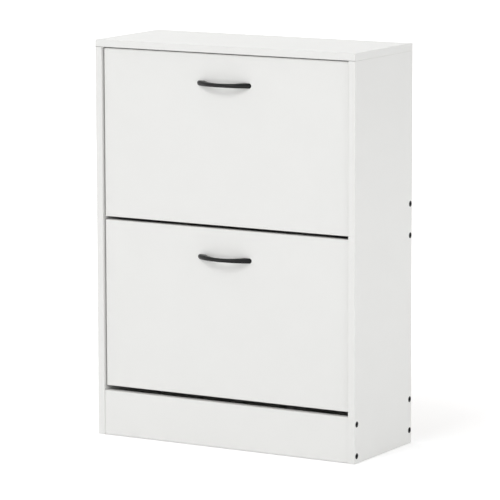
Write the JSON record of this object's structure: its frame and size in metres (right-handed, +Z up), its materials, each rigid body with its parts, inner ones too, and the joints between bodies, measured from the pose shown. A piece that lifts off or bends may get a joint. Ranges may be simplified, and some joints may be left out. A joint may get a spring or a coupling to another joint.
{
  "type": "shoe cabinet",
  "caption": "Slim white shoe cabinet whose stacked flap fronts tip out on bottom hinges, each carrying a two-row shoe rack, with black bow handles and a plinth.",
  "frame": {"origin": "on the floor, at the centre of the whole footprint with the handles included", "axes": "+X to the right seen from the front, +Y to the back (the wall side), +Z up; the flaps face -Y"},
  "size_m": [0.6, 0.258, 0.815],
  "materials": {
    "white_board": "particle board faced and edged with white melamine, fine matt-satin",
    "white_hardboard": "3 mm hardboard, white lacquered on both faces",
    "black_metal": "black powder coat, satin",
    "black_screw": "black coated steel, satin",
    "zinc_steel": "zinc-plated steel",
    "zinc_cast": "die-cast zinc, dull",
    "black_plastic": "moulded black plastic, fine grain",
    "nylon": "natural nylon",
    "beech": "plain beech"
  },
  "bodies": {
    "carcass": {"top_panel": "white_board", "side_panel_right": "white_board", "side_panel_left": "white_board", "plinth": "white_board", "rear_rail_lower": "white_board", "rear_rail_middle": "white_board", "back_panel": "white_hardboard", "confirmat_screws": "black_screw", "cam_bolts": "zinc_steel", "wall_bracket_right": "zinc_steel", "wall_bracket_left": "zinc_steel", "wall_bracket_screws": "zinc_steel", "cams": "zinc_cast", "dowels": "beech", "lower_hinge_plate_right": "zinc_steel", "lower_hinge_plate_left": "zinc_steel", "lower_hinge_plate_screws": "zinc_steel", "lower_hinge_pins": "zinc_steel", "lower_stop_pegs": "zinc_steel", "upper_hinge_plate_right": "zinc_steel", "upper_hinge_plate_left": "zinc_steel", "upper_hinge_plate_screws": "zinc_steel", "upper_hinge_pins": "zinc_steel", "upper_stop_pegs": "zinc_steel"},
    "lower_flap": {"lower_handle_screws": "zinc_steel", "lower_cheek_screws": "zinc_steel", "lower_rack_screws": "zinc_steel", "lower_flap_front": "white_board", "lower_shelf": "white_board", "lower_rear_board": "white_board", "lower_divider": "white_board", "lower_handle": "black_metal", "lower_cheek_right": "black_plastic", "lower_cheek_left": "black_plastic", "lower_pivot_bushes": "nylon"},
    "upper_flap": {"upper_handle_screws": "zinc_steel", "upper_cheek_screws": "zinc_steel", "upper_rack_screws": "zinc_steel", "upper_flap_front": "white_board", "upper_shelf": "white_board", "upper_rear_board": "white_board", "upper_divider": "white_board", "upper_handle": "black_metal", "upper_cheek_right": "black_plastic", "upper_cheek_left": "black_plastic", "upper_pivot_bushes": "nylon"}
  },
  "joints": [
    {"name": "lower_flap_hinge", "type": "hinge", "parent": "carcass", "child": "lower_flap", "pos_m": [0, -0.081, 0.16331], "axis": [1, 0, 0], "range_deg": [0, 40]},
    {"name": "upper_flap_hinge", "type": "hinge", "parent": "carcass", "child": "upper_flap", "pos_m": [0, -0.081, 0.51411], "axis": [1, 0, 0], "range_deg": [0, 40]}
  ]
}
